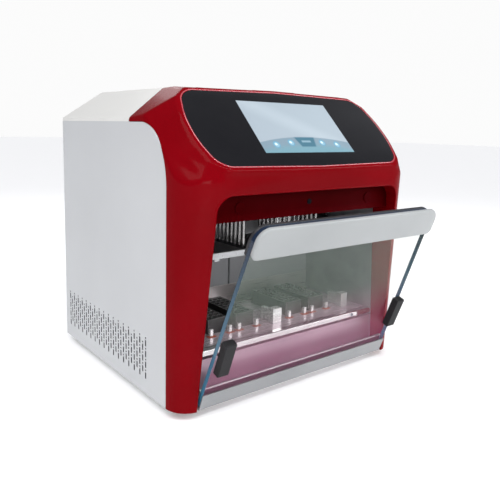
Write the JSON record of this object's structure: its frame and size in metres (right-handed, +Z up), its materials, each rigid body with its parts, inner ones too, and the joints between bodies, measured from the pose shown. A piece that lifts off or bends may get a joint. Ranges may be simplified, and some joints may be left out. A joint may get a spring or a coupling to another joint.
{
  "type": "nucleic acid extractor",
  "caption": "Bench-top nucleic acid extractor: boxy housing, red moulded front with sloping touch screen, tilting glass door, heated deck and a magnet-rod head on lead screws.",
  "frame": {"origin": "middle of the footprint, on the surface the feet stand on, with the door open", "axes": "+X to the right of a person facing the door, +Y to the back, +Z up"},
  "size_m": [0.38, 0.427, 0.386],
  "materials": {
    "red_gloss": "gloss",
    "light_grey_panel": "satin",
    "warm_white_panel": "satin",
    "zinc_sheet": "satin",
    "stainless": "brushed",
    "chrome": "polished",
    "aluminium": "satin",
    "black_plastic": "matte",
    "black_gloss": "gloss",
    "black_metal": "satin",
    "white_plastic": "satin",
    "glass": "clear",
    "display": "gloss",
    "rubber": "matte",
    "amber_pad": "matte",
    "board_green": "gloss",
    "magnet_metal": "polished"
  },
  "bodies": {
    "housing": {"base_tray": "zinc_sheet", "rubber_feet": "rubber", "left_side_panel": "light_grey_panel", "right_side_panel": "light_grey_panel", "top_cover": "warm_white_panel", "rear_panel": "light_grey_panel", "panel_screws": "chrome", "front_fascia": "red_gloss", "screen_lens": "black_gloss", "display_module": "display", "catch_magnets": "red_gloss", "door_sensor": "black_plastic", "hinge_brackets": "zinc_sheet", "chamber_side_walls": "zinc_sheet", "rear_wall_left": "light_grey_panel", "rear_wall_right": "light_grey_panel", "splash_strip": "stainless", "deck_plate": "stainless", "deck_front_rail": "chrome", "deck_front_plate": "stainless", "heating_block_1": "black_metal", "heating_block_2": "black_metal", "heating_block_3": "black_metal", "heating_block_4": "black_metal", "locating_posts": "chrome", "post_pads": "amber_pad", "plate_guides": "chrome", "mechanism_plate": "black_metal", "x_rails": "chrome", "x_screw_bearing": "black_metal", "x_motor": "black_metal", "fan_frames": "black_plastic", "fan_guards": "chrome", "power_inlet": "black_plastic", "switch_bezel": "black_plastic", "data_ports": "zinc_sheet", "power_supply": "zinc_sheet", "control_board": "board_green"},
    "door": {"door_glass": "glass", "door_rail": "aluminium", "door_handle": "white_plastic", "handle_backing": "black_plastic", "door_edge_blocks": "black_plastic", "hinge_pins": "chrome", "door_strikers": "chrome"},
    "carriage": {"head_carriage": "aluminium", "x_bearing_blocks": "chrome", "sleeve_motor": "black_metal"},
    "sleeve_stage": {"sleeve_stage": "black_metal", "carrier_front_bar": "aluminium", "guide_shafts": "chrome", "magnet_motor": "black_metal"},
    "magnet_head": {"magnet_head": "black_metal", "magnet_rod_rows": "magnet_metal"},
    "x_screw": {"x_lead_screw": "chrome"},
    "sleeve_screw": {"sleeve_lead_screw": "chrome"},
    "magnet_screw": {"magnet_lead_screw": "chrome"},
    "fan_left": {"fan_rotor_left": "black_plastic"},
    "fan_right": {"fan_rotor_right": "black_plastic"},
    "rocker": {"power_rocker": "black_plastic"}
  },
  "joints": [
    {"name": "door_hinge", "type": "hinge", "parent": "housing", "child": "door", "pos_m": [0, -0.10803, 0.019], "axis": [1, 0, 0], "range_deg": [-17.2, 0]},
    {"name": "head_slide", "type": "slide", "parent": "housing", "child": "carriage", "axis": [1, 0, 0], "range_m": [-0.018, 0.027]},
    {"name": "sleeve_lift", "type": "slide", "parent": "carriage", "child": "sleeve_stage", "axis": [0, 0, 1], "range_m": [-0.034, 0]},
    {"name": "magnet_lift", "type": "slide", "parent": "sleeve_stage", "child": "magnet_head", "axis": [0, 0, 1], "range_m": [-0.054, 0]},
    {"name": "x_screw_spin", "type": "hinge", "parent": "housing", "child": "x_screw", "pos_m": [0, 0.04997, 0.296], "axis": [1, 0, 0], "range_deg": [-830, 1235]},
    {"name": "sleeve_screw_spin", "type": "hinge", "parent": "carriage", "child": "sleeve_screw", "pos_m": [-0.0425, 0.02997, 0.26], "axis": [0, 0, 1], "range_deg": [-1550, 20]},
    {"name": "magnet_screw_spin", "type": "hinge", "parent": "sleeve_stage", "child": "magnet_screw", "pos_m": [-0.0045, 0.00597, 0.26], "axis": [0, 0, 1], "range_deg": [-2450, 20]},
    {"name": "left_fan_spin", "type": "hinge", "parent": "housing", "child": "fan_left", "pos_m": [-0.08, 0.19197, 0.242], "axis": [0, 1, 0], "continuous": true},
    {"name": "right_fan_spin", "type": "hinge", "parent": "housing", "child": "fan_right", "pos_m": [0.08, 0.19197, 0.242], "axis": [0, 1, 0], "continuous": true},
    {"name": "power_switch", "type": "hinge", "parent": "housing", "child": "rocker", "pos_m": [-0.095, 0.20497, 0.052], "axis": [1, 0, 0], "range_deg": [0, 16]}
  ],
  "couplings": [
    {"joint": "x_screw_spin", "follows": "head_slide", "rad_per_m": 785.4},
    {"joint": "sleeve_screw_spin", "follows": "sleeve_lift", "rad_per_m": 785.4},
    {"joint": "magnet_screw_spin", "follows": "magnet_lift", "rad_per_m": 785.4}
  ]
}
